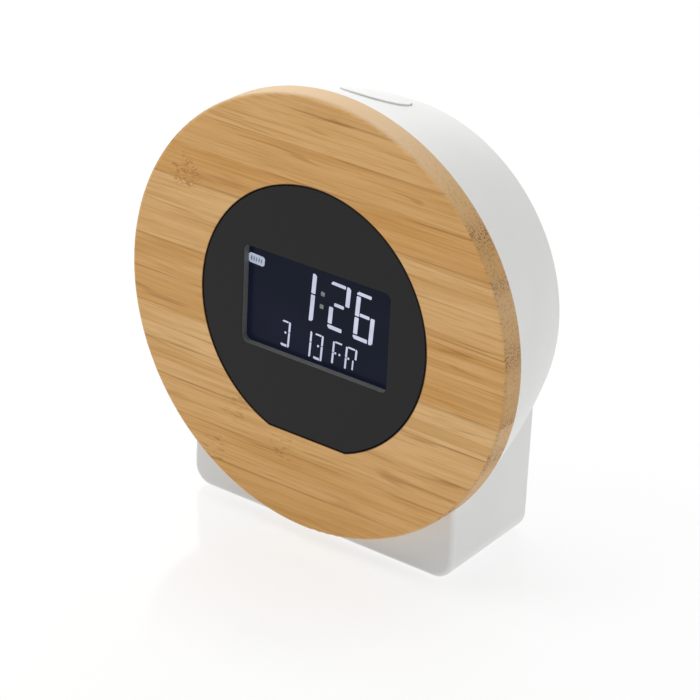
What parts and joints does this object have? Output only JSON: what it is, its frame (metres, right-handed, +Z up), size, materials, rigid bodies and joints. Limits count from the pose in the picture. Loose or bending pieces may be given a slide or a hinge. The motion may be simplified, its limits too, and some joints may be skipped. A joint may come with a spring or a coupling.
{
  "type": "desk clock",
  "caption": "Round desk clock with a laminated bamboo face, a recessed dark display, a tapered moulded body that leans back on a square foot, and a press button on top.",
  "frame": {"origin": "on the table under the middle of the clock's bounding box", "axes": "+X to the right seen from the front, +Y to the back, +Z up; the face looks along -Y and leans back by 3 degrees"},
  "size_m": [0.13, 0.0508, 0.1346],
  "materials": {
    "bamboo": "satin",
    "white_plastic": "fine matt moulding",
    "dark_plastic": "matt moulding",
    "adhesive": "foam tape",
    "display_glass": "polarised glass",
    "clear_acrylic": "clear moulding",
    "white_film": "film",
    "inner_plastic": "moulding",
    "switch_stem": "moulding",
    "dark_slider": "moulding",
    "board": "solder resist on glass fibre laminate",
    "lamp": "moulded lamp",
    "contact_rubber": "layered silicone",
    "steel": "zinc plated",
    "nickel": "nickel plated",
    "capacitor": "sleeve",
    "cell_wrap": "printed sleeve on a steel can",
    "lead": "soft insulation",
    "pad_rubber": "matt rubber"
  },
  "bodies": {
    "root": {"adhesive_ring": "adhesive", "alarm_switch": "nickel", "backlight_leds": "lamp", "bamboo_face": "bamboo", "battery_leads": "lead", "battery_lower": "cell_wrap", "battery_springs": "nickel", "battery_upper": "cell_wrap", "board_screws": "steel", "bridge_contact": "nickel", "buzzer": "inner_plastic", "capacitors": "capacitor", "chip_parts": "capacitor", "clock_chip": "inner_plastic", "contact_strip": "contact_rubber", "crystal": "nickel", "display_panel": "dark_plastic", "foot_pads": "pad_rubber", "front_frame": "white_plastic", "housing_screws": "steel", "key_board": "board", "key_board_screws": "steel", "key_switches": "inner_plastic", "lcd_frame": "inner_plastic", "lcd_glass": "display_glass", "led_strip": "board", "light_guide": "clear_acrylic", "main_board": "board", "negative_contact": "nickel", "panel_screws": "steel", "positive_contact": "nickel", "rear_housing": "white_plastic", "reflector_sheet": "white_film", "ribbon_cable": "lead", "ribbon_headers": "inner_plastic", "switch_board": "board", "switch_board_screws": "steel", "switch_leads": "lead", "top_switch": "inner_plastic"},
    "top_button": {"top_button": "white_plastic", "top_switch_stem": "switch_stem"},
    "key_mode": {"key_mode": "white_plastic", "stem_mode": "switch_stem"},
    "key_set": {"key_set": "white_plastic", "stem_set": "switch_stem"},
    "key_up": {"key_up": "white_plastic", "stem_up": "switch_stem"},
    "key_down": {"key_down": "white_plastic", "stem_down": "switch_stem"},
    "alarm_slider": {"alarm_slider": "dark_slider"},
    "battery_door": {"battery_door": "white_plastic"}
  },
  "joints": [
    {"name": "top_button_press", "type": "slide", "parent": "root", "child": "top_button", "axis": [0, -0.0523, -0.9986], "range_m": [0, 0.0008], "stiffness_N_per_m": 1500},
    {"name": "key_mode_press", "type": "slide", "parent": "root", "child": "key_mode", "axis": [0, -0.9986, 0.0523], "range_m": [0, 0.0006], "stiffness_N_per_m": 1500},
    {"name": "key_set_press", "type": "slide", "parent": "root", "child": "key_set", "axis": [0, -0.9986, 0.0523], "range_m": [0, 0.0006], "stiffness_N_per_m": 1500},
    {"name": "key_up_press", "type": "slide", "parent": "root", "child": "key_up", "axis": [0, -0.9986, 0.0523], "range_m": [0, 0.0006], "stiffness_N_per_m": 1500},
    {"name": "key_down_press", "type": "slide", "parent": "root", "child": "key_down", "axis": [0, -0.9986, 0.0523], "range_m": [0, 0.0006], "stiffness_N_per_m": 1500},
    {"name": "alarm_slide", "type": "slide", "parent": "root", "child": "alarm_slider", "axis": [1, 0, 0], "range_m": [-0.00125, 0.00125]},
    {"name": "door_lift_off", "type": "slide", "parent": "root", "child": "battery_door", "axis": [0, 0.9986, -0.0523], "range_m": [0, 0.02]}
  ]
}
